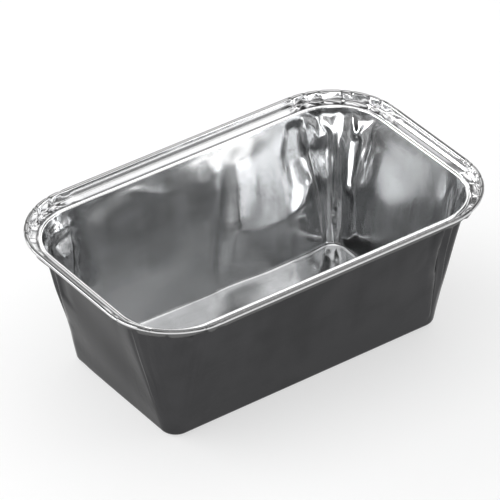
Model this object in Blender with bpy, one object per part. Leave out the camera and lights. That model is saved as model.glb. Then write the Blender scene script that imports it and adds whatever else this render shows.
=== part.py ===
"""Small loaf tray pressed from one sheet of aluminium foil.

The sheet is modelled as its inner skin: a stack of rounded-rectangle outlines that runs from the
floor up the leaning walls, over a bead, along a flat ledge, up a riser and round a rolled edge.
At the corners the surplus foil gathers into pleats, and the pleats are pressed flat into crimps on
the ledge. The skin is then given the thickness of the foil.

X is the long way, Y the short way, Z is up. The origin is at the middle of the underside.
"""
from collections import namedtuple
from math import cos, pi, radians, sin, tan

import bmesh
import bpy

MM = 0.001

# Mouth: where the inside of the walls meets the flange
MOUTH_LENGTH = 142.2 * MM
MOUTH_WIDTH = 83.2 * MM
MOUTH_CORNER_RADIUS = 20.2 * MM
DEPTH = 53.2 * MM

# Walls and floor
END_WALL_LEAN = radians(13.3)
SIDE_WALL_LEAN = radians(11.5)
FLOOR_CORNER_RADIUS = 5.7 * MM
FLOOR_BEND = 1.6 * MM

# Flange: bead, ledge, riser and rolled edge, from the mouth outwards
END_FLANGE = 6.4 * MM
SIDE_FLANGE = 7.15 * MM
EDGE_CORNER_RADIUS = 27.8 * MM
BEAD_WIDTH = 1.7 * MM
BEAD_RISE = 0.6 * MM
RISER_HEIGHT = 3.9 * MM
RISER_LEAN = 0.5 * MM
EDGE_DIAMETER = 1.5 * MM
EDGE_TURN = radians(315.0)

FOIL_THICKNESS = 0.1 * MM

# Gathered corners. The middle pleat starts lowest, and the outermost ones highest.
PLEATS = 5
PLEAT_DEPTH = 1.6 * MM
PLEAT_LEAN = 0.8 * MM
MIDDLE_PLEAT_START = 4.0 * MM
OUTER_PLEAT_START = 26.0 * MM
CRIMP_HEIGHT = 0.35 * MM

# One pleat, as (share of its pitch, share of its depth): a fold that leans over on its neighbour
PLEAT_FOLD = ((0.0, 0.0), (0.3, 1.0), (0.52, -0.6), (0.78, 0.15))

# Steps along the straight sides and round the profile
LONG_SIDE_STEPS = 3
SHORT_SIDE_STEPS = 2
WALL_STEPS = 5
BEAD_STEPS = 4
EDGE_STEPS = 7

# A closed line round the tray. climb is how far up the walls it lies, from 0 at the floor to 1 at
# the mouth, and crimp is the share of the crimps' height that it has.
Outline = namedtuple("Outline", "half_length half_width radius height climb crimp")

MOUTH = Outline(
    MOUTH_LENGTH / 2,
    MOUTH_WIDTH / 2,
    MOUTH_CORNER_RADIUS,
    FOIL_THICKNESS + DEPTH,
    1.0,
    0.0,
)
FLOOR = Outline(
    MOUTH.half_length - DEPTH * tan(END_WALL_LEAN),
    MOUTH.half_width - DEPTH * tan(SIDE_WALL_LEAN),
    FLOOR_CORNER_RADIUS,
    FOIL_THICKNESS,
    0.0,
    0.0,
)
EDGE = Outline(
    MOUTH.half_length + END_FLANGE,
    MOUTH.half_width + SIDE_FLANGE,
    EDGE_CORNER_RADIUS,
    MOUTH.height + RISER_HEIGHT,
    0.0,
    0.0,
)


def clear_scene():
    """Removes every object, so that the tray is alone."""
    for thing in list(bpy.data.objects):
        bpy.data.objects.remove(thing, do_unlink=True)


def blend(first, last, share):
    """The outline that lies a share of the way from the first to the last."""
    return Outline(*(a + (b - a) * share for a, b in zip(first, last)))


def grown(outline, out, up=0.0, **changes):
    """The outline moved out all round, and up."""
    return outline._replace(
        half_length=outline.half_length + out,
        half_width=outline.half_width + out,
        radius=outline.radius + out,
        height=outline.height + up,
        **changes,
    )


def floor_bend():
    """The rounded bend from the floor into the walls."""
    reach = min(FLOOR_BEND, FLOOR_CORNER_RADIUS / 2)
    start = grown(FLOOR, -reach)
    end = blend(FLOOR, MOUTH, reach / DEPTH)
    middle = blend(blend(start, FLOOR, 0.5), blend(FLOOR, end, 0.5), 0.5)
    return [start, middle, end]


def walls():
    """The leaning walls, from just above the bend to the mouth."""
    start = floor_bend()[-1]
    return [blend(start, MOUTH, step / WALL_STEPS) for step in range(1, WALL_STEPS + 1)]


def bead():
    """The rounded bead that stiffens the mouth. The pleats are pressed out over its width."""
    loops = []
    for step in range(1, BEAD_STEPS + 1):
        turn = pi * step / BEAD_STEPS
        out = BEAD_WIDTH / 2 * (1 - cos(turn))
        share = step / BEAD_STEPS
        loops.append(grown(MOUTH, out, BEAD_RISE * sin(turn), climb=1 - share, crimp=share))
    return loops


def riser_foot():
    """The outer end of the flat ledge, where the riser starts. The riser leans out a little."""
    return [grown(EDGE, -EDGE_DIAMETER - RISER_LEAN, -RISER_HEIGHT, crimp=1.0)]


def rolled_edge():
    """The edge of the sheet, rolled over outwards and down into an open curl."""
    radius = EDGE_DIAMETER / 2
    loops = []
    for step in range(EDGE_STEPS + 1):
        turn = pi - EDGE_TURN * step / EDGE_STEPS
        loops.append(grown(EDGE, radius * (cos(turn) - 1), radius * (sin(turn) - 1)))
    return loops


def pleat_depth(pleat, climb):
    """The share of its full depth that a pleat has so far up the wall."""
    middle = (PLEATS - 1) / 2
    sideness = abs(pleat - middle) / max(middle, 1)
    start = MIDDLE_PLEAT_START + (OUTER_PLEAT_START - MIDDLE_PLEAT_START) * sideness
    share = (climb * DEPTH - start) / (DEPTH - start)
    share = min(max(share, 0.0), 1.0)
    return share * share * (3 - 2 * share)


def corner_point(outline, pleat, share, depth):
    """One point of a corner: how far along its arc, and how far it moves in, sideways and up."""
    folded = pleat_depth(pleat, outline.climb)
    turn = pi / 2 * (pleat + share) / PLEATS
    inwards = PLEAT_DEPTH / 2 * depth * folded
    sideways = PLEAT_LEAN / 2 * depth * folded
    upwards = CRIMP_HEIGHT * max(depth, 0.0) * outline.crimp
    reach = outline.radius - inwards
    return (
        reach * cos(turn) - sideways * sin(turn),
        reach * sin(turn) + sideways * cos(turn),
        outline.height + upwards,
    )


def corner(outline):
    """The points of the corner at +X +Y, from its X end to its Y end, measured from its centre."""
    points = [
        corner_point(outline, pleat, share, depth)
        for pleat in range(PLEATS)
        for share, depth in PLEAT_FOLD
    ]
    return points + [corner_point(outline, PLEATS - 1, 1.0, 0.0)]


def straight(start, end, steps):
    """The points between two ends of a straight side, without the ends."""
    shares = [step / steps for step in range(1, steps)]
    return [tuple(a + (b - a) * share for a, b in zip(start, end)) for share in shares]


def loop_points(outline):
    """Every point of an outline, anticlockwise seen from above."""
    x_centre = outline.half_length - outline.radius
    y_centre = outline.half_width - outline.radius
    placed = [(x_centre + x, y_centre + y, z) for x, y, z in corner(outline)]
    corners = [
        placed,
        [(-x, y, z) for x, y, z in reversed(placed)],
        [(-x, -y, z) for x, y, z in placed],
        [(x, -y, z) for x, y, z in reversed(placed)],
    ]
    points = []
    for index, here in enumerate(corners):
        onward = corners[(index + 1) % 4]
        steps = LONG_SIDE_STEPS if index % 2 == 0 else SHORT_SIDE_STEPS
        points += here + straight(here[-1], onward[0], steps)
    return points


def loft(sheet, outlines):
    """Joins each outline to the next with four-sided faces, and closes the floor."""
    loops = [[sheet.verts.new(point) for point in loop_points(each)] for each in outlines]
    sheet.faces.new(loops[0])
    for inner, outer in zip(loops, loops[1:]):
        for index in range(len(inner)):
            after = (index + 1) % len(inner)
            sheet.faces.new((inner[index], outer[index], outer[after], inner[after]))


def foil_material():
    """Bright, bare aluminium foil."""
    material = bpy.data.materials.new("aluminium_foil")
    material.use_nodes = True
    shader = material.node_tree.nodes["Principled BSDF"]
    shader.inputs["Base Color"].default_value = (0.60, 0.61, 0.62, 1.0)
    shader.inputs["Metallic"].default_value = 1.0
    shader.inputs["Roughness"].default_value = 0.25
    return material


def make_tray():
    """Builds the skin, then gives it the foil's thickness on its outer side."""
    sheet = bmesh.new()
    loft(sheet, floor_bend() + walls() + bead() + riser_foot() + rolled_edge())
    mesh = bpy.data.meshes.new("foil_tray")
    sheet.to_mesh(mesh)
    sheet.free()
    mesh.shade_smooth()
    mesh.set_sharp_from_angle(angle=radians(40.0))
    mesh.materials.append(foil_material())
    tray = bpy.data.objects.new("foil_tray", mesh)
    bpy.context.scene.collection.objects.link(tray)
    thickness = tray.modifiers.new("foil_thickness", "SOLIDIFY")
    thickness.thickness = FOIL_THICKNESS
    thickness.offset = -1.0
    thickness.use_even_offset = True
    return tray


clear_scene()
make_tray()
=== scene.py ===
# %% [markdown]
# A loaf tray pressed from one sheet of aluminium foil. On the real object a flat blank is
# pushed through a die in one stroke: the floor stays flat, the walls lean out, and the foil
# that is left over at the corners gathers into pleats. The packed model gives the size and the
# place of every part of it. This script lays a much finer skin in the same space, with the
# folds, crimps and dents that light shows up on bare foil. First the packed model is loaded.

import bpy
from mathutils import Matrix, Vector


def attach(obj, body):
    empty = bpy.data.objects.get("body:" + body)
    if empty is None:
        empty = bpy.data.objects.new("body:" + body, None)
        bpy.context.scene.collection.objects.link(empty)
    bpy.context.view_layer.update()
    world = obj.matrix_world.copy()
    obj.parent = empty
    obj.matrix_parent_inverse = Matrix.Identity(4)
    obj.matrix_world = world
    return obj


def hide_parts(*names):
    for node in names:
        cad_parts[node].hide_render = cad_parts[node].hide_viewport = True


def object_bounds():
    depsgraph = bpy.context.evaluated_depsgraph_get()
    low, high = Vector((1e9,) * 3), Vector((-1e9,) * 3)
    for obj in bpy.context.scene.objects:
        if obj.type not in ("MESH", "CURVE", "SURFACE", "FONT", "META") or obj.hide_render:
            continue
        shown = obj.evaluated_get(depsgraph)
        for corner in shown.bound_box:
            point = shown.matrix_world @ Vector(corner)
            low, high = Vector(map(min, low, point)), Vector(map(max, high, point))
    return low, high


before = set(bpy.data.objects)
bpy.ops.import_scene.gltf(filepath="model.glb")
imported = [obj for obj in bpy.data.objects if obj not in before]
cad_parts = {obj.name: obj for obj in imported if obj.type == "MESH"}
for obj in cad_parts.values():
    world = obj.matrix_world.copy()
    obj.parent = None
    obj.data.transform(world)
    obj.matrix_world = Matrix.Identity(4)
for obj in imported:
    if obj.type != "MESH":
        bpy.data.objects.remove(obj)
cad_low, cad_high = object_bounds()
print("the packed tray spans", tuple(cad_low), tuple(cad_high))

# %% [markdown]
# Blender counts in metres, and a tray is read off in millimetres, so one name turns the second
# into the first. The sizes over the rolled edge come from the packed model. The others are the
# ones that a drawing of the tray would show: how far the flange stands out, how deep the tray
# is and how much the walls lean.

# %% Sizes of the tray
from math import cos, pi, radians, sin, tan

import bpy
import numpy as np
from mathutils import Matrix, Vector

MM = 0.001
edge_half_length = cad_high[0]
edge_half_width = cad_high[1]
edge_height = cad_high[2]
edge_corner_radius = 27.8 * MM
end_flange = 6.4 * MM
side_flange = 7.15 * MM
riser_height = 3.9 * MM
riser_lean = 0.5 * MM
edge_diameter = 1.5 * MM
edge_turn = radians(315)
bead_width = 1.7 * MM
bead_rise = 0.6 * MM
mouth_corner_radius = 20.2 * MM
foil_thickness = 0.1 * MM
mouth_height = edge_height - riser_height
depth = mouth_height - foil_thickness
end_wall_lean = radians(13.3)
side_wall_lean = radians(11.5)
floor_corner_radius = 5.7 * MM
floor_bend = 1.6 * MM
print(f"the tray is {depth / MM:.1f} mm deep inside")
print(f"its edge is {2 * edge_half_length / MM:.1f} x {2 * edge_half_width / MM:.1f} mm")

# %% [markdown]
# The camera stands where the photograph was taken from: far away, with a long lens, looking
# down into the tray over its near left corner. A rolled horizon of less than half a degree is
# kept.

# %% Camera
VIEW_AZIMUTH = radians(-35.86)
VIEW_ELEVATION = radians(35.25)
VIEW_ROLL = radians(-0.43)
VIEW_TARGET = Vector((12.59, 20.79, 21.16)) * MM
VIEW_DISTANCE = 1.647
LENS_MM = 331.9
SENSOR_MM = 36


def look_back():
    """The direction from what the camera looks at to the camera."""
    level = cos(VIEW_ELEVATION)
    return Vector((sin(VIEW_AZIMUTH) * level, -cos(VIEW_AZIMUTH) * level, sin(VIEW_ELEVATION)))


def add_camera():
    data = bpy.data.cameras.new("camera")
    data.lens = LENS_MM
    data.sensor_width = SENSOR_MM
    camera = bpy.data.objects.new("camera", data)
    back = look_back()
    right = Vector((cos(VIEW_AZIMUTH), sin(VIEW_AZIMUTH), 0))
    up = back.cross(right)
    turned_right = right * cos(VIEW_ROLL) + up * sin(VIEW_ROLL)
    turned_up = up * cos(VIEW_ROLL) - right * sin(VIEW_ROLL)
    axes = Matrix((turned_right, turned_up, back)).transposed().to_4x4()
    camera.matrix_world = Matrix.Translation(VIEW_TARGET + back * VIEW_DISTANCE) @ axes
    bpy.context.scene.collection.objects.link(camera)
    bpy.context.scene.camera = camera
    return camera


camera = add_camera()
print("camera at", tuple(round(each, 3) for each in camera.location))

# %% [markdown]
# The sheet is a grid. One way it runs round the tray, and the other way it runs from the middle
# of the floor, up the walls, over the bead, along the ledge, up the riser and round the rolled
# edge. Every line round the tray is a rounded rectangle, and four numbers give it: half its
# length, half its width, the radius of its corners and its height. The lines lie closest where
# the foil bends.

# %% Lines round the tray, from the floor to the edge
FLOOR_ROWS = 14
BEND_ROWS = 6
WALL_ROWS = 62
BEAD_ROWS = 8
LEDGE_ROWS = 5
RISER_ROWS = 6
EDGE_ROWS = 14
core_half_width = 1.0 * MM
core_radius = 0.9 * MM

mouth = np.array((
    edge_half_length - end_flange,
    edge_half_width - side_flange,
    mouth_corner_radius,
    mouth_height,
))
floor = np.array((
    mouth[0] - depth * tan(end_wall_lean),
    mouth[1] - depth * tan(side_wall_lean),
    floor_corner_radius,
    foil_thickness,
))
edge = np.array((edge_half_length, edge_half_width, edge_corner_radius, edge_height))


def grown(line, out, up=0.0):
    """The line moved out all round, and up."""
    return line + np.array((out, out, out, up))


def between(first, last, count, include_first=False):
    """Evenly spaced lines from the first to the last."""
    start = 0 if include_first else 1
    return [first + (last - first) * step / count for step in range(start, count + 1)]


def floor_lines():
    """From a small line at the middle of the floor to where the bend starts."""
    start = grown(floor, -floor_bend)
    core_half_length = start[0] - start[1] + core_half_width
    core = np.array((core_half_length, core_half_width, core_radius, floor[3]))
    return between(core, start, FLOOR_ROWS, include_first=True)


def bend_lines():
    """A rounded bend, as a curve with one control line where the floor and walls would meet."""
    start = grown(floor, -floor_bend)
    end = floor + (mouth - floor) * floor_bend / depth
    lines = []
    for step in range(1, BEND_ROWS + 1):
        share = step / BEND_ROWS
        lines.append(start * (1 - share) ** 2 + floor * 2 * share * (1 - share) + end * share**2)
    return lines


def bead_lines():
    lines = []
    for step in range(1, BEAD_ROWS + 1):
        turn = pi * step / BEAD_ROWS
        lines.append(grown(mouth, bead_width / 2 * (1 - cos(turn)), bead_rise * sin(turn)))
    return lines


def edge_lines():
    radius = edge_diameter / 2
    lines = []
    for step in range(EDGE_ROWS + 1):
        turn = pi - edge_turn * step / EDGE_ROWS
        lines.append(grown(edge, radius * (cos(turn) - 1), radius * (sin(turn) - 1)))
    return lines


wall_start = bend_lines()[-1]
ledge_end = grown(edge, -edge_diameter - riser_lean, -riser_height)
ledge_start = grown(mouth, bead_width)
rolled = edge_lines()
lines = np.array(
    floor_lines()
    + bend_lines()
    + between(wall_start, mouth, WALL_ROWS)
    + bead_lines()
    + between(ledge_start, ledge_end, LEDGE_ROWS)
    + between(ledge_end, rolled[0], RISER_ROWS)
    + rolled[1:]
)
print(len(lines), "lines round the tray")

# %% [markdown]
# Round the tray each point is a corner centre plus a step out at some angle. On a straight side
# the angle stays the same and the centre slides from one corner to the next, so the same two
# numbers and an angle serve both. Corners get more points than sides, because the folds are
# there.

# %% Points along each line
CORNER_STEPS = 96
SIDE_STEPS = (76, 40, 76, 40)
CORNER_SIGNS = ((1, 1), (-1, 1), (-1, -1), (1, -1))


def stations():
    """Rows of (x sign, y sign, angle), anticlockwise from the +X end of the far right corner."""
    found = []
    for corner, (sign_x, sign_y) in enumerate(CORNER_SIGNS):
        for step in range(CORNER_STEPS):
            found.append((sign_x, sign_y, (corner + step / CORNER_STEPS) * pi / 2))
        next_x, next_y = CORNER_SIGNS[(corner + 1) % 4]
        steps = SIDE_STEPS[corner]
        for step in range(steps):
            share = step / steps
            found.append((
                sign_x + (next_x - sign_x) * share,
                sign_y + (next_y - sign_y) * share,
                (corner + 1) * pi / 2,
            ))
    return np.array(found)


sign_x, sign_y, angle = stations().T
half_length, half_width, radius, height = (column[:, None] for column in lines.T)
smooth_sheet = np.stack(
    (
        sign_x * (half_length - radius) + radius * np.cos(angle),
        sign_y * (half_width - radius) + radius * np.sin(angle),
        height + 0 * angle,
    ),
    axis=-1,
)
row_count, column_count = smooth_sheet.shape[:2]
print(f"{row_count} x {column_count} points")

# %% [markdown]
# To draw a fold on the foil it helps to unroll it. Each corner has a chart: one number says how
# far a point lies along the sheet from the middle of that corner, anticlockwise seen from
# above, and the other how far up the wall it is. Past the mouth the second number goes on along
# the bead, the ledge and the riser, so a crimp in the flange is drawn the same way as a pleat
# in the wall.

# %% A chart for each corner
corner_starts = [0]
for corner in range(3):
    corner_starts.append(corner_starts[-1] + CORNER_STEPS + SIDE_STEPS[corner])
FAR_RIGHT, FAR_LEFT, NEAR_LEFT, NEAR_RIGHT = range(4)

steps_round = np.linalg.norm(np.roll(smooth_sheet, -1, axis=1) - smooth_sheet, axis=-1)
travelled = np.concatenate((np.zeros((row_count, 1)), np.cumsum(steps_round, axis=1)), axis=1)
length_round = travelled[:, -1:]
travelled = travelled[:, :-1]


def along(corner):
    """Distance in mm along the sheet from the middle of a corner."""
    middle = corner_starts[corner] + CORNER_STEPS // 2
    from_middle = travelled - travelled[:, middle : middle + 1]
    half = length_round / 2
    return ((from_middle + half) % length_round - half) / MM


steps_up = np.linalg.norm(np.diff(smooth_sheet, axis=0), axis=-1).mean(axis=1)
mouth_row = FLOOR_ROWS + BEND_ROWS + WALL_ROWS
up_the_sheet = np.concatenate(((0,), np.cumsum(steps_up)))
climb_of_row = np.where(
    np.arange(row_count) <= mouth_row,
    lines[:, 3] - foil_thickness,
    depth + up_the_sheet - up_the_sheet[mouth_row],
) / MM
climb = np.broadcast_to(climb_of_row[:, None], (row_count, column_count))
charts = [along(corner) for corner in range(4)]
corner_arc = np.ptp(charts[FAR_RIGHT][mouth_row, : CORNER_STEPS + 1])
print(f"a corner's arc is {corner_arc:.1f} mm at the mouth")


# %% [markdown]
# The way the foil faces at each point of the grid comes from its neighbours. Every fold and
# dent then moves points to and fro along that direction only.

# %% Which way the foil faces
def facing(points):
    """Unit vectors out of the foil, on the side that holds the food."""
    round_it = np.roll(points, -1, axis=1) - np.roll(points, 1, axis=1)
    up_it = np.gradient(points, axis=0)
    out = np.cross(up_it, round_it)
    return out / np.linalg.norm(out, axis=-1, keepdims=True)


normals = facing(smooth_sheet)
middle_of_far_side = CORNER_STEPS + SIDE_STEPS[0] // 2
print("the floor faces", normals[FLOOR_ROWS // 2, 0].round(2))
print("the far wall faces", normals[mouth_row // 2, middle_of_far_side].round(2))

# %% [markdown]
# Bare foil shows its shape by its creases. A crease is a line of points, each with a place on a
# corner's chart and a height in mm towards the inside of the tray, so a line of high points is
# a ridge and a line of low ones is a valley. Between the creases the foil stays flat, as stiff
# foil does. A triangulation that keeps every crease as an edge gives exactly that: flat facets
# that meet in sharp lines. The last list of each patch is its border, where the height is zero.

# %% Flat facets between creases
from mathutils import geometry

SAME_PLACE = 0.01  # mm
TINY = 1e-6
relief = np.zeros((row_count, column_count))


def facets_between(creases):
    """Triangles of (along, climb, height), with every crease kept as an edge."""
    points = [Vector(point[:2]) for crease in creases for point in crease]
    heights = [point[2] for crease in creases for point in crease]
    seams = []
    first = 0
    for crease in creases:
        seams += [(first + step, first + step + 1) for step in range(len(crease) - 1)]
        first += len(crease)
    places, _, triangles, sources, _, _ = geometry.delaunay_2d_cdt(
        points, seams, [], 0, SAME_PLACE
    )
    known = [heights[source[0]] if source else 0.0 for source in sources]
    return np.array([[(*places[corner], known[corner]) for corner in each] for each in triangles])


def within(values, ends):
    """Which of the values lie between the least and the greatest of the ends."""
    return (values > min(ends) - SAME_PLACE) & (values < max(ends) + SAME_PLACE)


def fold(corner, creases):
    """Writes the heights of a creased patch into the array named creased."""
    across = charts[corner]
    for facet in facets_between(creases):
        one, two, three = facet
        area = (two[0] - one[0]) * (three[1] - one[1]) - (three[0] - one[0]) * (two[1] - one[1])
        if abs(area) < TINY:
            continue
        near = within(across, facet[:, 0]) & within(climb, facet[:, 1])
        w, c = across[near], climb[near]
        share_two = ((w - one[0]) * (three[1] - one[1]) - (three[0] - one[0]) * (c - one[1])) / area
        share_three = ((two[0] - one[0]) * (c - one[1]) - (w - one[0]) * (two[1] - one[1])) / area
        share_one = 1 - share_two - share_three
        inside = (share_one >= -TINY) & (share_two >= -TINY) & (share_three >= -TINY)
        value = share_one * one[2] + share_two * two[2] + share_three * three[2]
        creased[near] = np.where(inside, value, creased[near])


one_ridge = [(0, 1, 0), (0, 3, 1)]
square = [(-2, 0, 0), (2, 0, 0), (2, 4, 0), (-2, 4, 0), (-2, 0, 0)]
print("one ridge in a square makes", len(facets_between([one_ridge, square])), "facets")

# %% [markdown]
# The gathered corner at the back is the one that the camera looks into. The foil turns from the
# long wall to the end wall in a few flat leaves: a narrow one that faces the end wall, a broad
# one that still faces along with the long wall, a bundle of fine folds in the middle, and then
# three more leaves that lie over each other like the pleats of a skirt. They start low in the
# corner and deepen towards the mouth. Near the top the die has pressed them flat again, into
# kinks and small triangles.

# %% The gathered corner at the back
creased = np.zeros((row_count, column_count))
PATCH_TOP = 52.9  # mm up, just under the mouth
PATCH_BORDER = [
    (21, PATCH_TOP, 0), (20, 42, 0), (17.5, 30, 0), (13, 18, 0), (8, 6, 0), (5, 1.2, 0),
    (0, 0.8, 0), (-7, 1.2, 0), (-11, 6, 0), (-14, 18, 0), (-19, 30, 0), (-21, 42, 0),
    *((place, PATCH_TOP, 0) for place in (-21, -12, -6, 0, 7, 14, 21)),
]
back_corner = [
    # the narrow leaf that faces the end wall, between a valley and a ridge
    [(16.4, 51.5, -0.1), (16.0, 48, -0.3), (14.8, 42, -0.3), (14.2, 39.4, -0.3), (12.2, 30, -0.25),
     (9.1, 21.4, -0.1), (6.6, 12.8, -0.1), (5.0, 4, 0)],
    [(15.2, 51.8, 0.2), (14.6, 48, 0.5), (13.5, 42, 0.5), (12.9, 39.4, 0.3), (11.6, 35.1, 0.7),
     (10.2, 28.3, 1.4), (8.2, 22, 1.3), (6.0, 12, 0.6)],
    # the kink above the broad leaf
    [(13.9, 51.6, -0.1), (11.4, 48, 0.35), (8.5, 42.9, 0.5)],
    [(8.5, 42.9, 0.5), (13.5, 42, 0.5)],
    [(12.9, 39.4, 0.3), (10.2, 39.2, 0.45), (4.8, 39.4, -0.1)],
    [(12.2, 37.6, 0.25), (9.8, 37.5, 0.3), (5.0, 37.6, -0.1)],
    [(8.5, 42.9, 0.5), (4.8, 39.4, -0.1)],
    [(10.4, 50.5, -0.6), (8.4, 47.5, -0.35), (4.8, 43.6, -0.1), (4.8, 39.4, -0.1)],
    [(7.6, 51.5, -0.7), (6.6, 47.5, -0.1), (3.4, 44.2, 0.5)],
    # the right edge of the broad leaf
    [(4.8, 39.4, -0.1), (5.1, 37.6, -0.1), (5.1, 33.4, 0.2), (4.6, 25.7, 0.8),
     (3.1, 17.9, 0.5), (2.0, 8, 0)],
    # the bundle of fine folds in the middle
    [(3.4, 51, -0.5), (3.4, 44.2, 0.5), (2.9, 36, 0.5), (2.5, 28, 1.0), (1.7, 18, 0.7),
     (0.8, 8, 0)],
    [(2.0, 51, -0.2), (2.1, 44, 0.4), (1.9, 36, 0.1), (1.6, 28, 0.2)],
    [(0.9, 51.5, -0.4), (0.8, 44, 0.5), (0.8, 38.3, 0.9), (0.6, 30.4, 0.6),
     (-0.2, 17.9, 0.5), (-0.5, 8, 0.3), (-0.7, 2, 0.1)],
    [(-0.2, 51, -0.5), (0.0, 43.7, 0.2), (-1.1, 26.5, -0.2), (-1.6, 21.4, -0.5), (-2.0, 8, -0.3)],
    # three leaves that lie over each other
    [(-3.2, 51.5, -0.4), (-3.8, 47, 0.1), (-4.1, 42.9, 0.3), (-3.7, 34.3, 1.2),
     (-4.4, 27.4, 1.8), (-4.8, 24, 2.1)],
    [(-7.2, 43.2, -1.0), (-6.3, 35.1, -0.25), (-6.4, 26.5, 0.6), (-6.8, 24, 1.5)],
    [(-9.9, 43.2, 0.8), (-10.2, 36, 1.1), (-9.8, 30, 1.3), (-8.5, 24, 1.7)],
    [(-12.0, 43, -0.3), (-11.9, 35.1, 0.1), (-11.2, 30, 0.4), (-10.0, 25, 1.0)],
    [(-13.9, 51.8, 0.1), (-15.3, 42, 0.6), (-15.0, 36, 0.8), (-14.4, 30, 0.9), (-11.5, 20, 0.5)],
    # the kink above them, shaped like a V
    [(-4.1, 48.2, 0.5), (-5.3, 45.5, 1.1), (-7.0, 44.6, 1.3), (-8.7, 46.3, 1.0),
     (-12.7, 51.6, 0.2)],
    [(-5.0, 50.5, -0.4), (-6.6, 47.4, -0.1), (-9.0, 50.6, -0.5)],
    # where the leaves run out above the plain lower part
    [(-1.1, 26.5, -0.3), (-2.7, 24.8, 1.0), (-4.8, 24, 2.0), (-6.8, 24, 1.6), (-8.5, 24, 1.7)],
    [(-1.9, 22.4, -0.4), (-4.6, 21.0, 0.1), (-8.6, 21.2, 0.7)],
    [(-8.5, 24, 1.7), (-9.4, 18.8, 0.9), (-9.0, 11.9, 0.6), (-7.8, 5, 0.2)],
]
fold(FAR_RIGHT, back_corner + [PATCH_BORDER])
relief += creased


def span(heights):
    """The least and the greatest height, in words."""
    return f"{heights.min():.2f} to {heights.max():.2f} mm"


print("the folds at the back stand", span(creased))

# %% [markdown]
# The other three corners are gathered by the same die, and no two come out alike. Each gets a
# fan of pleats in short rows of numbers: where the pleat lies at the mouth, where it has run
# down to, how low it starts, and how high it stands. Ridges and valleys take turns.

# %% The other gathered corners
PLEAT_TOP = 51.4
PLEAT_CREST = 44.5


def fan(corner, pleats):
    """Pleats that start low, deepen towards the mouth and run out just below it."""
    creases = []
    for top, low, start, height in pleats:
        middle = (top + low) / 2
        creases.append([
            (top * 0.97, PLEAT_TOP, height * 0.35),
            (top, PLEAT_CREST, height),
            (middle * 0.6 + top * 0.4, start + (PLEAT_CREST - start) * 0.6, height * 0.8),
            (low, start, height * 0.12),
        ])
    fold(corner, creases + [PATCH_BORDER])


creased = np.zeros((row_count, column_count))
left_corner = [
    [(-17.4, 50, -0.2), (-16.9, 46.3, -0.7), (-14.8, 38, -0.8), (-11.6, 30.8, -0.6),
     (-8.0, 20, -0.4), (-5, 8, 0)],
    [(-14.8, 50.5, 0.2), (-14.2, 46, 0.6), (-12.6, 38.5, 0.9), (-9.6, 30, 1.0),
     (-6.8, 20, 0.7), (-4, 6, 0.1)],
    # a triangle that leans back, under a row of kinks
    [(-12.4, 44.6, -0.1), (-9.0, 43.8, -0.3), (-5.6, 42.8, -0.1)],
    [(-11.6, 38.6, 1.0), (-10.0, 37.6, 1.4), (-7.0, 38.5, 1.2)],
    [(-5.6, 42.8, -0.1), (-7.0, 38.5, 1.2), (-6.2, 30, 0.9), (-4.4, 18, 0.5), (-3, 8, 0)],
    [(-12.0, 47.2, 1.0), (-10.3, 46.3, 0.8), (-8.6, 47.0, 1.2), (-6.6, 46.2, 0.8),
     (-5.0, 47.4, 1.1), (-3.2, 46.4, 0.7), (-1.6, 47.0, 1.1), (2.0, 47.5, 0.8)],
    [(-10.6, 50.4, 0.1), (-9.6, 49.0, 0.9)],
    [(-6.8, 50.6, 0.2), (-6.2, 49.2, 0.9)],
    [(-2.6, 50.8, 0.1), (-3.0, 49.2, 0.8)],
    # pleats on the side of the end wall
    [(-3.8, 43.5, -0.3), (-3.6, 38, -0.5), (-3.4, 28, -0.5), (-2.4, 14, -0.2)],
    [(-1.2, 44.5, 0.7), (-1.2, 36, 0.9), (-0.8, 20, 0.7), (-0.4, 6, 0.1)],
    [(1.4, 44, -0.4), (1.2, 34, -0.5), (0.8, 18, -0.2)],
    [(4.4, 46, 0.7), (3.6, 36, 0.8), (2.2, 20, 0.5), (1.4, 9, 0)],
    [(7.2, 46, -0.5), (5.6, 34, -0.5), (3.6, 18, 0)],
    [(10.2, 48, 0.6), (8.0, 36, 0.8), (5.4, 20, 0.2)],
    [(13.4, 48, -0.3), (10.6, 34, -0.3)],
    [(16, 47, 0.4), (13, 34, 0.3)],
]
fold(FAR_LEFT, left_corner + [PATCH_BORDER])
fan(NEAR_LEFT, [
    (-14.6, -7.2, 15, -0.25), (-12.2, -6.0, 14, 0.3), (-9.2, -4.4, 22, -0.1),
    (-6.5, -3.4, 14, 0.25), (-3.6, -1.9, 20, -0.15), (-1.2, -0.6, 5, 0.2), (1.7, 0.7, 9, -0.1),
    (4.6, 2.1, 6, 0.2), (7.6, 4.2, 18, -0.1), (10.4, 6.2, 12, 0.3), (13.6, 8.4, 22, -0.2),
])
fan(NEAR_RIGHT, [
    (-16.4, -9.4, 24, 0.4), (-14.4, -5.6, 6, -1.1), (-12.9, -4.6, 5, 1.1),
    (-9.7, -3.4, 18, -0.4), (-7.2, -2.6, 12, 0.8), (-4.4, -1.5, 16, -0.5), (-1.9, -0.5, 5, 0.8),
    (0.8, 0.4, 12, -0.5), (3.6, 1.4, 7, 0.9), (6.6, 3.2, 16, -0.5), (9.0, 4.7, 12, 0.8),
    (12.0, 6.6, 20, -0.4), (14.9, 9.2, 24, 0.6),
])
relief += creased
print("the pleats in the other corners stand", span(creased))

# %% [markdown]
# In the flange the same surplus foil has nowhere to go, so the die flattens it into crimps:
# short flat folds that cross the ledge and run up the riser. They stop at the bead, which stays
# smooth.

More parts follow.
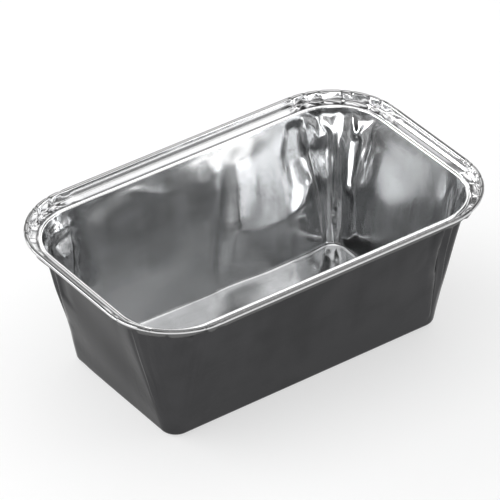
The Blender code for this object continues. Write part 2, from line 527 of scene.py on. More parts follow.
# %% Crimps across the flange of the corners
ledge_row = mouth_row + BEAD_ROWS
riser_row = ledge_row + LEDGE_ROWS
edge_row = riser_row + RISER_ROWS
LEDGE_CLIMB, RISER_CLIMB, EDGE_CLIMB = climb_of_row[[ledge_row, riser_row, edge_row]].tolist()
CRIMP_REACH = 30  # mm either way from the middle of the corner
print(f"the ledge starts at {LEDGE_CLIMB:.1f}, the riser at {RISER_CLIMB:.1f} mm")


def crimp(corner, rows):
    """Short folds over the ledge and up the riser: (along at the bead, at the edge, height)."""
    creases = []
    low, high = LEDGE_CLIMB - 0.5, EDGE_CLIMB + 0.4
    for start, end, height in rows:
        creases.append([
            (start, low + 0.25, height * 0.2),
            (start * 0.65 + end * 0.35, LEDGE_CLIMB + 1.0, height),
            (start * 0.35 + end * 0.65, RISER_CLIMB + 0.3, height * 0.8),
            (end, high - 0.3, height * 0.3),
        ])
    creases.append([
        (-CRIMP_REACH, low, 0), (-CRIMP_REACH, high, 0), (0, high, 0), (CRIMP_REACH, high, 0),
        (CRIMP_REACH, low, 0), (0, low, 0), (-CRIMP_REACH, low, 0),
    ])
    fold(corner, creases)


creased = np.zeros((row_count, column_count))
crimp(FAR_RIGHT, [
    (-24, -25, 0.0), (-20.6, -22.4, 0.54), (-19.4, -21.6, -0.27), (-15.2, -17.0, 0.47),
    (-13.8, -15.2, -0.27), (-9.6, -11.6, 0.54), (-8.3, -10.2, -0.34), (-3.4, -3.2, 0.41),
    (-0.6, -0.4, 0.47), (0.6, 0.6, -0.27), (5.6, 8.2, 0.54), (7.0, 9.6, -0.27),
    (11.4, 13.6, 0.47), (13.2, 15.6, -0.34), (17.4, 18.8, 0.54), (19.0, 20.6, -0.14),
    (23, 24, 0.0),
])
crimp(FAR_LEFT, [
    (-25, -25, 0.0), (-21.5, -22.8, 0.47), (-19.8, -21.4, -0.27), (-14.4, -17.4, 0.61),
    (-12.9, -15.4, -0.34), (-7.2, -10.4, 0.54), (-5.8, -8.6, -0.34), (-1.2, -2.4, 0.47),
    (0.4, -0.6, -0.27), (5.4, 5.8, 0.47), (7.0, 7.6, -0.27), (13.6, 15.6, 0.47),
    (15.2, 17.4, -0.27), (24, 24, 0.0),
])
crimp(NEAR_LEFT, [
    (-25, -25, 0.0), (-21.4, -22.6, 0.54), (-19.6, -20.4, -0.41), (-17.4, -18.2, 0.54),
    (-15.9, -16.4, -0.27), (-8.6, -9.6, 0.47), (-7.2, -8.0, -0.27), (2.4, 2.0, 0.41),
    (4.0, 3.6, -0.34), (14.6, 16.6, 0.54), (16.4, 18.0, -0.34), (20.2, 22.4, 0.54),
    (21.6, 23.8, -0.27), (27, 27, 0.0),
])
crimp(NEAR_RIGHT, [
    (-25, -25, 0.0), (-22.0, -23.4, 0.54), (-20.4, -21.6, -0.34), (-12.2, -14.0, 0.47),
    (-10.4, -12.2, -0.34), (-4.6, -5.8, 0.47), (-3.0, -4.0, -0.27), (2.2, 2.6, 0.54),
    (3.8, 4.2, -0.27), (8.8, 10.0, 0.54), (10.2, 11.8, -0.34), (15.4, 17.8, 0.54),
    (17.0, 19.4, -0.27), (25, 25, 0.0),
])
relief += creased
print("the crimps stand", span(creased))

# %% [markdown]
# A press can't fold foil to a perfect line. One light blur over the grid rounds every crease by
# a few tenths of a millimetre.

# %% Round the creases a little
def blurred(heights):
    """Each height, mixed with those of its neighbours."""
    round_it = (np.roll(heights, 1, axis=1) + 2 * heights + np.roll(heights, -1, axis=1)) / 4
    padded = np.pad(round_it, ((1, 1), (0, 0)), mode="edge")
    return (padded[:-2] + 2 * padded[1:-1] + padded[2:]) / 4


sharpest = np.abs(relief).max()
relief = blurred(relief)
print(f"the highest fold went from {sharpest:.2f} to {np.abs(relief).max():.2f} mm")

# %% [markdown]
# The floor doesn't meet the long walls in one bend. Its rim slopes up first, in a band that the
# die presses wide at one end of the tray and narrow in the middle, and then turns sharply into
# the wall. The band is a plane of its own: wherever it lies above the smooth sheet, it will
# lift the sheet.

# %% The sloping band round the floor
bend_row = FLOOR_ROWS + BEND_ROWS // 2
x, y = smooth_sheet[..., 0] / MM, smooth_sheet[..., 1] / MM


def smooth_step(share):
    """0 below 0, 1 above 1, and smooth in between."""
    share = np.clip(share, 0, 1)
    return share * share * (3 - 2 * share)


def band_width(x_mm):
    """Width in mm of the band along the far wall, from its left end to its right end."""
    places = (-60, -48, -30, -16, 0, 20, 38, 50)
    return np.interp(x_mm, places, (8.5, 7.5, 5.4, 4.0, 3.6, 4.0, 4.6, 2.6))


NARROWEST = 2.0  # mm
BAND_TURN = 3.2  # the higher, the later the band starts to rise
far_side = smooth_step((y - 10) / 12)
side_share = np.sin(angle) ** 2
past_floor_end, past_floor_side = half_length - floor[0], half_width - floor[1]
past_corner_line = (past_floor_end * (1 - side_share) + past_floor_side * side_share) / MM
width_here = NARROWEST + (band_width(x) - NARROWEST) * far_side
steepest = 0.25 + 0.22 * far_side
in_band = np.clip(1 + past_corner_line / width_here, 0, 1)
run_up = width_here / BAND_TURN * in_band**BAND_TURN + np.clip(past_corner_line, 0, None)
band_height = steepest * run_up
print("the band rises up to", round(float(band_height[bend_row].max()), 2), "mm")

# %% [markdown]
# Large thin walls never stay flat. A few slow waves, some tenths of a millimetre high and a few
# centimetres long, are enough to make their reflections wander. A wave here is a plain sine
# through space, which is steadier than noise: its length and its height are known, and so is
# the slope.

# %% Slow waves in the walls and the floor
def wave(direction, length, phase, height):
    """One straight wave through space, in mm."""
    way = Vector(direction).normalized()
    travel = x * way[0] + y * way[1] + smooth_sheet[..., 2] / MM * way[2]
    return height * np.sin(2 * pi * travel / length + phase)


on_walls = smooth_step((climb - 2) / 12) * smooth_step((53 - climb) / 8)
waves = (
    wave((1, 0.3, 0.5), 46, 0.6, 0.18)
    + wave((0.7, 0.5, -0.8), 31, 2.1, 0.1)
    + wave((0.2, 1, 0.6), 38, 4.0, 0.15)
    + wave((0.9, -0.6, 1.2), 21, 5.2, 0.04)
)
relief += waves * on_walls * smooth_step((np.abs(charts[FAR_RIGHT]) - 14) / 14)
swell = 0.02 * np.sin(x / 3.1 + y / 7.0) + 0.04 * np.sin(x / 9.0 - y / 5.0)
relief += np.where(climb < 3, swell, 0) * smooth_step(-past_corner_line / 3)
print("the waves reach", round(float(np.abs(waves).max()), 2), "mm")


# %% [markdown]
# Where the far wall meets the gathered corner it has buckled inwards by a few millimetres.
# Above the line where it stands out most the foil leans back and catches the light from
# overhead, and below it the wall stays dark. The buckle ends in two leaves beside the corner: a
# narrow one that turns away from the light, and a bright one from there to the seam where the
# corner's own folds begin. Two formulas draw them, and the higher one wins, so that they meet
# in a line as two flat leaves do.

# %% The buckle in the far wall
UNDER_MOUTH = 52.8  # mm up


def buckle(w, c):
    """Height in mm of the buckle at a place on the chart of the back corner."""
    crest = np.interp(w, (10, 22, 33, 43, 48), (18, 17, 17, 20, 22))
    high = 1.35 + 2.3 * smooth_step((w - 19) / 24)
    up = np.clip((UNDER_MOUTH - c) / (UNDER_MOUTH - crest), 0, 1)
    leaning = high * (up ** np.interp(w, (26, 38), (3, 1)) - 0.1 * up**6)
    below = 0.9 * high * np.clip(c / crest, 0, 1)
    return np.where(c < crest, below, leaning) * smooth_step((53 - w) / 8)


def leaves_beside_corner(w, c, wall):
    """The wall's height, with the dark leaf and the bright one between it and the seam."""
    left_edge = np.interp(c, (21, 29, 33, 40, 50), (20.5, 22, 24, 25.5, 24))
    dark_leaf = wall - 0.38 * np.clip(left_edge - w, 0, None)
    above = 0.5 * (c - 18 + np.sqrt((c - 18) ** 2 + 6))
    bright_leaf = np.maximum(1.75 - 0.125 * above, -0.6) - 0.11 * (np.maximum(w, 11.5) - 17)
    bright_leaf = bright_leaf * np.clip(c / 18, 0, 1) ** 1.4 * smooth_step((53 - c) / 5)
    both = np.where(w < left_edge, np.maximum(dark_leaf, bright_leaf), wall)
    seam = np.interp(c, (4, 12.8, 21.4, 30, 39.4, 42, 52), (5, 6.6, 9.1, 12.2, 14.2, 14.8, 16.4))
    seam_width = np.interp(c, (15, 26), (14, 1.2))
    return both * smooth_step((w - seam + 0.6) / seam_width)


from_corner = charts[FAR_RIGHT]
buckled = leaves_beside_corner(from_corner, climb, buckle(from_corner, climb))
relief += buckled
print("the wall buckles in by", round(float(buckled.max()), 2), "mm")

# %% [markdown]
# Just under the mouth the long wall leans back a little more, where the die rounds it over into
# the bead. How far down that starts and how steep it is change along the wall. The end wall on
# the right bellies inwards by a millimetre or two, most of it near the gathered corner that
# pulls on it.

# %% The lean under the mouth, and the belly of the end wall
LEAN_TOP = 52.6  # mm up
BELLY_POWER = 1.575  # puts the fullest place a little under two thirds of the way up
lean_length = np.interp(from_corner, (20, 38, 46, 55, 64, 85), (8, 8, 10, 14, 9, 6))
lean_slope = np.interp(
    from_corner, (16, 38, 46, 55, 64, 76), (0.06, 0.1, 0.12, 0.25, 0.22, 0.03)
)
down = np.clip((LEAN_TOP - climb) / lean_length, 0, 1)
fade = smooth_step((climb - 8) / (44 - lean_length))
lean = 0.5 * lean_slope * lean_length * (2 * down - down**2) * fade
relief += lean * side_share * smooth_step((y - 5) / 20)
belly_size = 1.0 + 1.1 * np.clip(y / 24, -1, 1)
belly = belly_size * np.sin(pi * np.clip(climb / UNDER_MOUTH, 0, 1) ** BELLY_POWER)
relief += belly * (1 - side_share) * smooth_step((38 - np.abs(y)) / 14) * (x > 0)
print("the lean adds up to", round(float(lean.max()), 2), "mm")
print("the belly adds up to", round(float(belly.max()), 2), "mm")


# %% [markdown]
# Then come the marks of handling. Foil this thin keeps every knock: a fingertip leaves a dimple
# or a ring, and a bend leaves one sharp crease that dies out. Three short formulas draw them,
# each at its place on a corner's chart, so a mark stays where it is when the tray's size
# changes.

# %% Three kinds of marks
def away_from(corner, w, c, half_width, half_height):
    """Distance from a place on a corner's chart, 1 at the mark's own half width and height."""
    return np.sqrt(((charts[corner] - w) / half_width) ** 2 + ((climb - c) / half_height) ** 2)


def dent(corner, w, c, half_width, half_height, push):
    """A smooth dimple, pushed in from the inside where push is negative."""
    return push * np.exp(-(away_from(corner, w, c, half_width, half_height) ** 2))


def ring(corner, w, c, half_width, half_height, thick, push):
    """A dent with a flat middle and a raised ring round it."""
    away = away_from(corner, w, c, half_width, half_height)
    return push * np.exp(-(((away - 1) / thick) ** 2))


def crease(corner, points, push, left, right):
    """A ridge along a rising line of (along, climb, strength), with a slope on either side."""
    places, climbs, strengths = zip(*points)
    wanted = np.interp(climb, climbs, places)
    strength = np.interp(climb, climbs, strengths, left=0, right=0)
    off = charts[corner] - wanted
    fall = np.where(off > 0, np.exp(-off / left), np.exp(off / right))
    return push * strength * fall


print("a dimple of 1 mm falls to", round(float(np.exp(-1)), 2), "mm at its half width")

# %% [markdown]
# The photograph shows a ring-shaped dent and a long upright crease in the far wall, small dents
# beside the corners, and a row of tiny puckers low in the back corner, where the foil is
# squeezed most. The outer walls carry one long crease near each front corner.

# %% The marks of handling
marks = (
    ring(FAR_RIGHT, 59.5, 47.6, 3.4, 4.4, 0.3, 0.14)
    + ring(FAR_RIGHT, 54.8, 48.4, 1.6, 3.2, 0.35, 0.12)
    + crease(FAR_RIGHT, [(44.2, 10, 0), (44.8, 16, 0.5), (46.2, 25, 1), (46.9, 33, 0.6),
                         (46.4, 46, 0.8), (46, 51, 0)], 0.35, 1.6, 5.0)
    + dent(FAR_RIGHT, 50.0, 17.5, 2.0, 2.4, 0.16)
    + crease(FAR_RIGHT, [(53.5, 0.5, 0.8), (55, 9, 1), (55, 16, 0.8), (53.5, 24, 0)],
             0.5, 12.0, 1.4)
    + ring(FAR_LEFT, -16.0, 47.0, 1.7, 1.8, 0.4, 0.25)
    + dent(FAR_LEFT, -10.5, 42.0, 2.2, 3.0, 0.4)
    + crease(FAR_LEFT, [(-9.5, 26, 0), (-11.1, 30.8, 0.8), (-15, 41, 1), (-17.5, 50, 0.4)],
             0.4, 1.0, 2.6)
    + crease(FAR_LEFT, [(-56, 43, 0), (-53.7, 44.6, 0.8), (-49, 47.5, 1), (-43.4, 50.6, 1),
                        (-42, 52, 0)], 0.3, 3.0, 3.0)
    + dent(FAR_LEFT, -26.5, 49.5, 5.5, 4.5, -0.5)
    + crease(NEAR_LEFT, [(-5.5, 14, 0), (-7.0, 20, 0.7), (-9.2, 31, 1), (-12.0, 46.3, 1),
                         (-13, 51, 0)], -0.35, 1.2, 1.6)
    + dent(NEAR_LEFT, 9.8, 48.2, 0.9, 0.8, 0.4)
    + crease(NEAR_RIGHT, [(-4.6, 8, 0), (-7.3, 18.8, 0.8), (-10.3, 31.7, 1), (-13.4, 42.9, 1),
                          (-13.8, 50, 0)], -0.5, 0.9, 1.3)
    + crease(NEAR_RIGHT, [(-23.5, 33, 0), (-21.7, 38.6, 0.9), (-19.3, 45.5, 1), (-18, 51, 0)],
             0.12, 1.2, 3.0)
)
PUCKER_HALF_WIDTH, PUCKER_HALF_HEIGHT = 0.75, 0.9
puckers = ((0.3, 15.4, 0.3), (-0.1, 11.6, 0.22), (0.5, 9.6, 0.25), (-0.1, 6.8, 0.25),
           (-0.2, 4.8, 0.12))
for w, c, push in puckers:
    marks += dent(FAR_RIGHT, w, c, PUCKER_HALF_WIDTH, PUCKER_HALF_HEIGHT, push)
relief += marks * smooth_step((53.2 - climb) / 1.5)
print("all relief together stands", span(relief))

# %% [markdown]
# The edge is rolled last. Round a corner it has less way to go than the foil in it, so it
# kinks: short dents cross the roll where the crimps reach it. Each is given by its place round
# the corner and its depth in mm.

# %% Kinks in the rolled edge
edge_kinks = {
    FAR_RIGHT: (
        (-22.0, -0.3), (-19.5, -0.2), (-14.8, -0.35), (-9.8, -0.25), (-3.0, -0.3),
        (0.8, -0.25), (9.0, -0.3), (14.6, -0.25), (20.0, -0.3),
    ),
    FAR_LEFT: (
        (-21.6, -0.3), (-16.0, -0.35), (-9.0, -0.3), (-6.8, -0.2), (1.2, -0.25),
        (7.2, -0.3), (16.8, -0.25),
    ),
    NEAR_LEFT: (
        (-24.0, -0.25), (-22.4, -0.4), (-20.9, -0.3), (-19.6, -0.4), (-17.9, -0.3),
        (-16.8, -0.4), (-5.0, -0.25), (-3.6, -0.3), (16.0, -0.3), (21.4, -0.25),
    ),
    NEAR_RIGHT: (
        (-22.6, -0.3), (-12.4, -0.25), (-3.2, -0.3), (3.4, -0.25), (9.6, -0.3),
        (17.4, -0.35), (19.8, -0.3),
    ),
}
KINK_CLIMB = EDGE_CLIMB + 0.9
KINK_HALF_WIDTH = 0.6
KINK_HALF_HEIGHT = 1.5
kinks = np.zeros((row_count, column_count))
for corner, places in edge_kinks.items():
    for w, push in places:
        kinks += dent(corner, w, KINK_CLIMB, KINK_HALF_WIDTH, KINK_HALF_HEIGHT, push)
relief += kinks
print("the kinks in the edge are up to", round(float(-kinks.min()), 2), "mm deep")

# %% [markdown]
# Now the relief moves the points of the smooth sheet, and faces join them: four-sided ones all
# the way, and one large one over the middle of the floor. The foot of the far wall also bows in
# by about a millimetre beside the back corner, and the sloping band lifts the sheet wherever it
# lies higher.

# %% Build the sheet
def sheet_mesh(points):
    """A grid that closes on itself round the tray, with one face over the middle of the floor."""
    rows, columns = points.shape[:2]
    first = np.arange(rows - 1)[:, None] * columns
    here = np.arange(columns)[None, :]
    after = (here + 1) % columns
    quads = np.stack(
        (first + here, first + columns + here, first + columns + after, first + after), axis=-1
    )
    faces = [tuple(range(columns))] + [tuple(quad) for quad in quads.reshape(-1, 4).tolist()]
    mesh = bpy.data.meshes.new("foil_sheet")
    mesh.from_pydata(points.reshape(-1, 3).tolist(), [], faces)
    mesh.validate()
    mesh.shade_smooth()
    return mesh


FOOT_BOW = 1.2  # mm
foot_bow = FOOT_BOW * smooth_step((57 - x) / 20) * smooth_step((x - 12) / 18)
foot_bow = foot_bow * smooth_step((y - 10) / 18) * np.clip(1 - climb / 16, 0, 1)
pressed_sheet = smooth_sheet + normals * relief[..., None] * MM
pressed_sheet[..., 1] -= foot_bow * MM
pressed_sheet[..., 2] = np.maximum(pressed_sheet[..., 2], foil_thickness + band_height * MM)
sheet = bpy.data.objects.new("foil_sheet", sheet_mesh(pressed_sheet))
bpy.context.scene.collection.objects.link(sheet)
print("the foot bows in by", round(float(foot_bow.max()), 2), "mm")

# %% [markdown]
# A material can't tell a fold from a flat wall, but the grid can. Each point keeps a few
# numbers for it: how gathered the foil is there, whether the point lies in a valley or on a
# ridge, how near it is to the tight grooves of the flange and the fold of the rolled edge, where
# the materials paint dark lines of shade, and how far the foil was drawn. A point lies in a
# valley where its neighbours stand higher than it does, compared with the smooth sheet.

# %% What each point remembers of the pressing
gathered = np.zeros((row_count, column_count))
for across in charts:
    gathered = np.maximum(gathered, smooth_step((22 - np.abs(across)) / 5))


def store(name, values):
    """Keeps one number for each point of the sheet, for the materials to read."""
    kept = sheet.data.attributes.new(name, "FLOAT", "POINT")
    kept.data.foreach_set("value", values.ravel().astype(np.float32))
    print(name, "has a mean of", round(float(values.mean()), 3))


def hollow(points):
    """How far each point lies below the mean of its neighbours, in mm for each mm between them."""
    padded = np.concatenate((points[:1], points, points[-1:]))
    before, after = np.roll(points, 1, axis=1), np.roll(points, -1, axis=1)
    mean = (padded[:-2] + padded[2:] + before + after) / 4
    apart = np.linalg.norm(before - points, axis=-1) + np.linalg.norm(padded[2:] - points, axis=-1)
    below = np.einsum("ijk,ijk->ij", mean - points, facing(points))
    return below / np.maximum(apart, 0.05 * MM)


TOO_SLIGHT = 0.006
DEEP_VALLEY = 0.05
HIGH_RIDGE = 0.06
hollowness = hollow(pressed_sheet) - hollow(smooth_sheet)
creasable = np.where(climb < 52.5, 1, gathered)
valley = np.clip((hollowness - TOO_SLIGHT) / DEEP_VALLEY, 0, 1) * creasable
ridge = np.clip((-hollowness - TOO_SLIGHT) / HIGH_RIDGE, 0, 1) * creasable
store("gathered", gathered)
store("valley", valley)
store("ridge", ridge)
rows = np.arange(row_count)[:, None]
fold_row = edge_row + 5.1  # where the roll turns under


def line_along(row, half_width):
    """1 on one row of points all round the tray, and less beside it."""
    return np.exp(-(((rows - row) / half_width) ** 2))


# painted shade: dark lines where the bead meets the ledge, where the ledge meets the riser, and
# along the fold of the rolled edge
painted_groove_shade = line_along(ledge_row, 1.1) + 0.3 * line_along(riser_row, 0.7)
painted_groove_shade += line_along(fold_row, 2.2) + 0.7 * line_along(fold_row - 3.2, 0.5)
store("painted_groove_shade", np.clip(painted_groove_shade, 0, 1) + 0 * charts[0])
store("end_wall", np.broadcast_to(np.cos(angle) ** 2, (row_count, column_count)))
store("drawn", smooth_step(climb / 4) * smooth_step((53.5 - climb) / 4))

# %% [markdown]
# The strip that the blank was cut from came out of a rolling mill, so very fine lines run along
# it, and the press then dragged the foil down its walls. To draw both, a material has to know
# where each point of the tray lay on the flat blank. That is easy to say here: as far out from
# the bend at the floor as the sheet climbs after it.

# %% Where each point lay on the flat blank
beyond_bend = np.clip(up_the_sheet - up_the_sheet[bend_row], 0, None)[:, None]
kept_row = np.minimum(rows, bend_row).repeat(column_count, axis=1)
from_floor = np.take_along_axis(smooth_sheet, kept_row[..., None], axis=0)
flat_blank = np.stack(
    (
        from_floor[..., 0] + beyond_bend * np.cos(angle),
        from_floor[..., 1] + beyond_bend * np.sin(angle),
        np.zeros((row_count, column_count)),
    ),
    axis=-1,
)
blank = sheet.data.attributes.new("blank", "FLOAT_VECTOR", "POINT")
blank.data.foreach_set("vector", flat_blank.ravel().astype(np.float32))
print("the blank was about", (np.ptp(flat_blank, axis=(0, 1))[:2] / MM).round(), "mm")

# %% [markdown]
# Shader maths reads best as plain expressions. A small class wraps one socket of a node tree,
# and its operators add the Math nodes. Every other kind of node comes from one method.

# %% Shader maths as expressions
class Signal:
    """A socket of a node tree that can stand in an expression."""

    def __init__(self, tree, socket=None):
        self.tree = tree
        self.socket = socket

    def node(self, kind, settings=None, sockets=None, output=0):
        """Adds a node: its settings first, then the values or links of its sockets."""
        node = self.tree.nodes.new(kind)
        for name, value in (settings or {}).items():
            setattr(node, name, value)
        for name, value in (sockets or {}).items():
            self.plug(node.inputs[name], value)
        return Signal(self.tree, node.outputs[output])

    def plug(self, socket, value):
        """Links a signal to a socket, or sets the socket to a plain value."""
        if isinstance(value, Signal):
            self.tree.links.new(value.socket, socket)
        else:
            socket.default_value = value

    def math(self, operation, first, second):
        return self.node("ShaderNodeMath", {"operation": operation}, {0: first, 1: second})

    def __add__(self, other):
        return self.math("ADD", self, other)

    __radd__ = __add__

    def __mul__(self, other):
        return self.math("MULTIPLY", self, other)

    __rmul__ = __mul__

    def __sub__(self, other):
        return self.math("SUBTRACT", self, other)

    def __rsub__(self, other):
        return self.math("SUBTRACT", other, self)

    def step(self, low, high):
        """0 below low, 1 above high, and smooth in between."""
        return self.node(
            "ShaderNodeMapRange",
            {"interpolation_type": "SMOOTHSTEP"},
            {"Value": self, "From Min": low, "From Max": high, "To Min": 0.0, "To Max": 1.0},
        )

    def part(self, axis):
        """One axis of a vector."""
        return self.node("ShaderNodeSeparateXYZ", sockets={0: self}, output="XYZ".index(axis))

    def times(self, scale):
        """A vector with each of its axes scaled."""
        return self.node("ShaderNodeVectorMath", {"operation": "MULTIPLY"}, {0: self, 1: scale})

    def mix(self, colour_none, colour_all):
        """Goes from one colour to the other as this signal goes from 0 to 1."""
        sockets = {0: self, 6: colour_none, 7: colour_all}
        return self.node("ShaderNodeMix", {"data_type": "RGBA"}, sockets, output=2)


print("a signal can", ", ".join(name for name in vars(Signal) if name[0] != "_"))


# %% [markdown]
# A noise texture is the start of most wear. Its coordinates are scaled by how many features lie
# in a metre along each axis: the same number three times gives clouds, and a large one beside a
# small one gives lines.

# %% Noise with a grain of its own
def noise(place, features, detail):
    """Noise around a half, with so many features in a metre along each axis."""
    scaled = place.times(features)
    sockets = {"Vector": scaled, "Scale": 1.0, "Detail": detail}
    return scaled.node("ShaderNodeTexNoise", sockets=sockets)


def kept(tree, name, output="Fac"):
    """One of the numbers that the sheet keeps for each of its points."""
    return Signal(tree).node("ShaderNodeAttribute", {"attribute_name": name}, output=output)


CLOUDS, PATCHES, GRAIN = 80, 24, 700
print("clouds are", 1000 / CLOUDS, "mm wide, and patches", round(1000 / PATCHES), "mm")

# %% [markdown]
# The finish of the foil has several layers, as on a real pressed tray. The rolling lines and
# the drag lines of the press are a few thousandths of a millimetre deep, and they only blur and
# stretch the reflections. The surface is a little uneven in lustre, in clouds of about a
# centimetre. It is polished where the die squeezed it hardest: along the ridges, in the
# gathered corners and over the flange. The ridges and the flange are also painted lighter, partly
# for that polish and partly as a painted highlight. The foot of the walls is painted a little
# lighter, as painted light. Valleys and the grooves of the flange are painted darker, as painted
# shade, and thin scuffs cross the walls, as if trays had slid in their stack.

# %% The finish of pressed foil
FLANGE_FROM, FLANGE_TO = 52.9 * MM, 53.5 * MM
FOOT_TOP, FOOT_BOTTOM, FOOT_WANDER = 32 * MM, 12 * MM, 12 * MM
SCUFF_DIRECTION = 0.62  # radians
POLISHED_ROUGHNESS = 0.13
MICRON = 0.001 * MM


def shade(colour, factor):
    """The colour made darker or lighter, with the alpha that a colour socket wants."""
    return (*(each * factor for each in colour), 1)


def foil_finish(name, wall, flange_polish_and_highlight, groove_shade_colour, roughness, valley_shade, at_a_slant, crests, hollows):
    material = bpy.data.materials.new(name)
    material.use_nodes = True
    tree = material.node_tree
    shader = tree.nodes["Principled BSDF"]
    shader.inputs["Metallic"].default_value = 1
    shader.inputs["Specular Tint"].default_value = (at_a_slant, at_a_slant, at_a_slant, 1)
    here = Signal(tree).node("ShaderNodeTexCoord", output="Object")
    blank = kept(tree, "blank", "Vector")
    ridge, valley, gathered = kept(tree, crests), kept(tree, hollows), kept(tree, "gathered")
    end_wall, drawn = kept(tree, "end_wall"), kept(tree, "drawn")
    on_flange = here.part("Z").step(FLANGE_FROM, FLANGE_TO)
    polished = gathered.math("MAXIMUM", gathered, on_flange)

    clouds = noise(here, (CLOUDS, CLOUDS, CLOUDS), 1.0)
    patches = noise(here, (PATCHES, PATCHES, PATCHES), 1.0)
    grain = noise(here, (GRAIN, GRAIN, GRAIN), 0.0)
    rolling_lines = noise(blank, (20, 750, 0), 0.0)
    down_the_sides = noise(blank, (270, 9, 0), 1.0)
    down_the_ends = noise(blank, (9, 270, 0), 1.0)
    drag_lines = (1 - end_wall) * down_the_sides + end_wall * down_the_ends
    turning = {"Vector": blank, "Angle": SCUFF_DIRECTION}
    turned = blank.node("ShaderNodeVectorRotate", {"rotation_type": "Z_AXIS"}, turning)
    scuffs = noise(turned, (30, 800, 0), 0.0).step(0.72, 0.8) * (1 - polished)
    crinkles = noise(blank, (330, 330, 0), 1.0) * gathered * drawn

    # painted light: the foot of the walls is made lighter
    painted_foot_light = (here.part("Z") + FOOT_WANDER * patches).step(FOOT_TOP, FOOT_BOTTOM) * drawn
    tone = 0.46 * patches + 0.34 * clouds + 0.1 * drag_lines + 0.06 * rolling_lines
    tone = tone + 0.04 * grain + 0.12 * painted_foot_light
    colour = tone.step(0.36, 0.64).mix(shade(wall, 0.86), shade(wall, 1.14))
    # partly polish and partly a painted highlight: the flange is made lighter than the walls
    colour = on_flange.mix(colour, (*flange_polish_and_highlight, 1))
    # painted shade: valleys are darkened, most of all in the crimps of the flange
    colour = (valley * (0.5 + 0.45 * on_flange)).mix(colour, shade(wall, valley_shade))
    # a painted highlight on the ridges, partly for their polish, and lighter scuffs of wear
    colour = (ridge * 0.35 + 0.06 * scuffs).mix(colour, (*flange_polish_and_highlight, 1))
    # painted shade: dark lines in the grooves of the flange and on the fold of the rolled edge
    colour = (kept(tree, "painted_groove_shade") * 0.95).mix(colour, (*groove_shade_colour, 1))
    colour.plug(shader.inputs["Base Color"], colour)

    uneven = 0.08 * (clouds - 0.5) + 0.03 * (drag_lines - 0.5) * drawn
    uneven = uneven + 0.02 * (rolling_lines - 0.5)
    rough = roughness + uneven + 0.02 * scuffs + 0.02 * valley
    rough = rough - polished * (roughness - POLISHED_ROUGHNESS) - 0.03 * ridge
    rough.plug(shader.inputs["Roughness"], rough)

    microns = 0.2 * rolling_lines + 2.0 * drag_lines * drawn + 45.0 * crinkles + 14.0 * clouds
    relief_sockets = {"Strength": 1.0, "Distance": MICRON, "Height": microns}
    bump = microns.node("ShaderNodeBump", sockets=relief_sockets)
    bump.plug(shader.inputs["Normal"], bump)
    print(name, "uses", len(tree.nodes), "nodes")
    return material


# %% [markdown]
# Foil leaves the mill with a bright side and a dull side. The inside of this tray is its bright
# side. The outside is a dark grey metal, which is painted shade for the dark surroundings that
# its walls reflect, so the two sides are two materials. What is a ridge inside is a valley
# outside, so the two sides read those two numbers the other way round.

# %% The bright side, and the outer side painted dark
bright_side = foil_finish(
    "foil_bright_side",
    wall=(0.58, 0.585, 0.59),
    # painted light: the flange colour is partly a painted highlight, and the groove colour and the
    # valley factor are painted shade
    flange_polish_and_highlight=(0.88, 0.88, 0.885),
    groove_shade_colour=(0.07, 0.07, 0.07),
    roughness=0.225,
    valley_shade=0.2,
    at_a_slant=0.75,
    crests="ridge",
    hollows="valley",
)
# painted shade: the outer side's dark grey wall colour stands for the dark surroundings that it
# reflects
outer_side_painted_dark = foil_finish(
    "foil_outer_side_painted_dark",
    wall=(0.06, 0.06, 0.062),
    # painted light: the flange colour is partly a painted highlight, and the groove colour and the
    # valley factor are painted shade
    flange_polish_and_highlight=(0.14, 0.14, 0.14),
    groove_shade_colour=(0.04, 0.04, 0.04),
    roughness=0.22,
    valley_shade=0.08,
    at_a_slant=0.7,
    crests="valley",
    hollows="ridge",
)
sheet.data.materials.append(bright_side)
sheet.data.materials.append(outer_side_painted_dark)

# %% [markdown]
# The skin becomes a sheet of foil: the last modifier adds the thickness on the outer side, and
# puts the second material there. The sheet then stands for the packed tray, which stays as it
# is for the physics.

# %% Give the sheet its thickness, and let it stand for the tray
thickness = sheet.modifiers.new("thickness", "SOLIDIFY")
thickness.thickness = foil_thickness
thickness.offset = -1
thickness.use_even_offset = False
thickness.material_offset = 1
thickness.material_offset_rim = 0

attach(sheet, "root")
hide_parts("foil_tray")
print("the sheet has", len(sheet.data.polygons), "faces before it gets its thickness")

# %% [markdown]
# The tray stands on a wide sheet of white paper. Paper is never quite even, so its colour and
# its roughness wander a little, and its fibres give a faint bump. A photographer lights the
# paper on its own, to make it whiter than the lamps on the object would. Here an emission
# stands for that extra light. Only the camera and the mirror-like reflections see it, so the
# shadow stays and the tray gets no light from it.

# %% The paper under the tray
PAPER_REACH = 6.0
PAPER_DROP = 0.2 * MM
PAPER_GLOW = 0.6
corner_signs = ((-1, -1), (1, -1), (1, 1), (-1, 1))
corners = [(PAPER_REACH * right, PAPER_REACH * back, 0) for right, back in corner_signs]
paper_mesh = bpy.data.meshes.new("paper_floor")
paper_mesh.from_pydata(corners, [], [(0, 1, 2, 3)])
paper_floor = bpy.data.objects.new("paper_floor", paper_mesh)
paper_floor.location.z = -PAPER_DROP
bpy.context.scene.collection.objects.link(paper_floor)

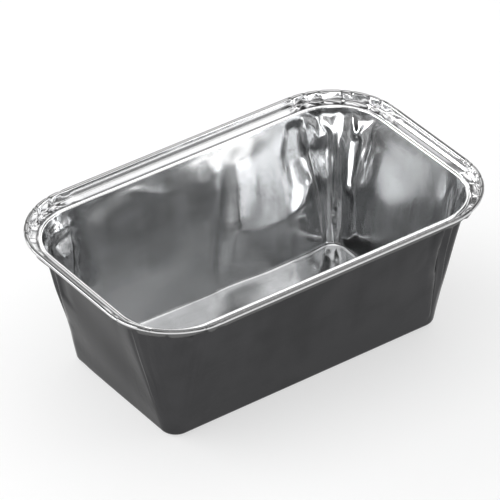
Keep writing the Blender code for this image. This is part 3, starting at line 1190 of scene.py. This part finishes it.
paper = bpy.data.materials.new("white_paper")
paper.use_nodes = True
tree = paper.node_tree
shader = tree.nodes["Principled BSDF"]
on_paper = Signal(tree).node("ShaderNodeTexCoord", output="Object")
fibres = noise(on_paper, (1400, 1400, 1400), 3.0)
tint = noise(on_paper, (9, 9, 9), 2.0).mix((0.89, 0.89, 0.888, 1), (0.91, 0.91, 0.912, 1))
tint.plug(shader.inputs["Base Color"], tint)
lustre = 0.86 + 0.08 * fibres
lustre.plug(shader.inputs["Roughness"], lustre)
fibre_sockets = {"Strength": 1.0, "Distance": 20 * MICRON, "Height": fibres}
bump = fibres.node("ShaderNodeBump", sockets=fibre_sockets)
bump.plug(shader.inputs["Normal"], bump)
seen = Signal(tree).node("ShaderNodeLightPath", output="Is Camera Ray")
for ray in ("Is Glossy Ray", "Is Transmission Ray"):
    seen = seen.math("MAXIMUM", seen, Signal(tree).node("ShaderNodeLightPath", output=ray))
plain_paper = Signal(tree, shader.outputs["BSDF"])
lit_paper = plain_paper.node("ShaderNodeEmission")
shaders = {0: PAPER_GLOW * seen, 1: plain_paper, 2: lit_paper}
surface = plain_paper.node("ShaderNodeMixShader", sockets=shaders)
surface.plug(tree.nodes["Material Output"].inputs["Surface"], surface)
paper_mesh.materials.append(paper)
print("the paper reaches", PAPER_REACH, "m each way")

# %% [markdown]
# Bare metal shows nothing but its surroundings, so the room matters as much as the lamps. This
# one is a dark room, a little brighter near the ground, so that the metal fades from light at
# its foot to dark at the horizon. One grey that changes with the height in the room does that.

# %% The room
world = bpy.data.worlds.new("studio")
bpy.context.scene.world = world
world.use_nodes = True
background = world.node_tree.nodes["Background"]
background.inputs["Color"].default_value = (1, 1, 1, 1)
way = Signal(world.node_tree).node("ShaderNodeTexCoord", output="Generated")
DARKEST, LIGHTER_BELOW = 0.05, 0.22
height_in_room = way.part("Z").step(0.35, 0.55)
room = DARKEST + LIGHTER_BELOW * (1 - height_in_room)
room.plug(background.inputs["Strength"], room)
print("the room has", len(world.node_tree.nodes), "nodes")

# %% [markdown]
# Softboxes stand round the tray where the photograph's highlights point to: one overhead, a
# bright low one at the back left that draws the white patches on the far wall and the flange,
# one high at the right that the floor shows, and weaker ones elsewhere. Each is given by the
# direction and the size at which the tray sees it, in degrees, since a small object sees a lamp
# only as an angle. Its power then follows from its area.

# %% The softboxes
LAMP_DISTANCE = 1.8


def softbox(name, azimuth, elevation, half_width, half_height, brightness):
    """A plain rectangular lamp that faces the tray. All four sizes are angles in degrees."""
    across, up = radians(azimuth), radians(elevation)
    place = LAMP_DISTANCE * Vector((cos(across) * cos(up), sin(across) * cos(up), sin(up)))
    data = bpy.data.lights.new(name, "AREA")
    data.shape = "RECTANGLE"
    data.size = 2 * LAMP_DISTANCE * tan(radians(half_width))
    data.size_y = 2 * LAMP_DISTANCE * tan(radians(half_height))
    data.energy = brightness * pi * data.size * data.size_y
    lamp = bpy.data.objects.new(name, data)
    lamp.location = place
    lamp.rotation_euler = place.to_track_quat("Z", "Y").to_euler()
    lamp.visible_camera = False
    bpy.context.scene.collection.objects.link(lamp)
    print(f"{name}: {data.energy:.1f} W")
    return lamp


softbox("top_softbox", 0, 86, 32, 37, 1.5)
softbox("back_left_softbox", 146, 21, 38, 7, 9.0)
softbox("back_softbox", 118, 40, 22, 9, 1.0)
softbox("front_right_softbox", -45, 10.5, 30, 7.5, 1.8)
softbox("high_right_softbox", -39, 43, 9, 6, 1.4)
softbox("right_softbox", 13, 20, 27, 12, 1.4)
softbox("back_right_softbox", 70, 32, 24, 12, 1.2)
softbox("front_left_softbox", 245, 26, 18, 6, 1.2)
bpy.context.scene.view_settings.view_transform = "Standard"

# %% [markdown]
